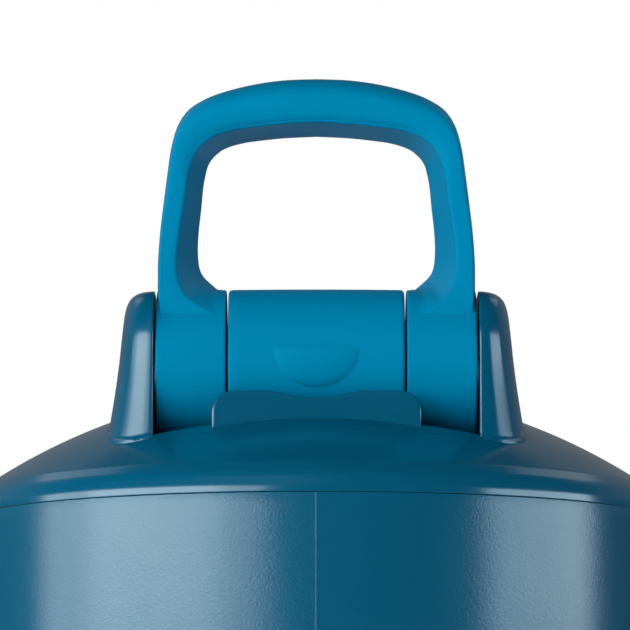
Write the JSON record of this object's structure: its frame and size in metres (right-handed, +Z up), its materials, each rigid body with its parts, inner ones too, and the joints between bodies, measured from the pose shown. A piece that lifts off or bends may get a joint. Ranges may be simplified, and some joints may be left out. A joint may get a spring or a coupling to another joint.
{
  "type": "water jug",
  "caption": "Wide cylindrical water jug with a screw-on domed lid, an off-centre swinging carry loop and a hinged spout cap.",
  "frame": {"origin": "centre of the base, on the plane the jug stands on", "axes": "+Z up along the body's axis; the hinge of the handle and cap runs along X; the thumb tab and the handle are on the -Y side and the drinking spout is at the middle of the lid"},
  "size_m": [0.1486, 0.1486, 0.2613],
  "materials": {
    "body_teal": "fine orange-peel texture, semi-gloss",
    "lid_teal": "smooth gloss",
    "blue": "satin",
    "inner_teal": "plain moulded",
    "silicone": "matte",
    "steel": "drawn"
  },
  "bodies": {
    "jug": {"jug_body": "body_teal"},
    "gasket": {"lid_gasket": "silicone"},
    "lid": {"lid_shell": "lid_teal", "lid_insert": "inner_teal", "drink_spout": "inner_teal", "spout_o_ring": "silicone", "hinge_pin": "steel", "washer_left": "steel", "washer_right": "steel", "pin_plug_left": "lid_teal", "pin_plug_right": "lid_teal"},
    "cap": {"flip_cap": "blue", "cap_plug": "silicone"},
    "handle": {"carry_handle": "blue"}
  },
  "joints": [
    {"name": "lid_lift", "type": "slide", "parent": "jug", "child": "gasket", "axis": [0, 0, 1], "range_m": [0, 0.006]},
    {"name": "lid_turn", "type": "hinge", "parent": "gasket", "child": "lid", "pos_m": [0, 0, 0.172], "axis": [0, 0, 1], "range_deg": [0, 540]},
    {"name": "cap_flip", "type": "hinge", "parent": "lid", "child": "cap", "pos_m": [0, -0.033, 0.201], "axis": [1, 0, 0], "range_deg": [0, 90]},
    {"name": "handle_swing", "type": "hinge", "parent": "lid", "child": "handle", "pos_m": [0, -0.033, 0.201], "axis": [1, 0, 0], "range_deg": [-60, 92]}
  ],
  "couplings": [
    {"joint": "lid_lift", "follows": "lid_turn", "m_per_rad": 0.00063662}
  ]
}
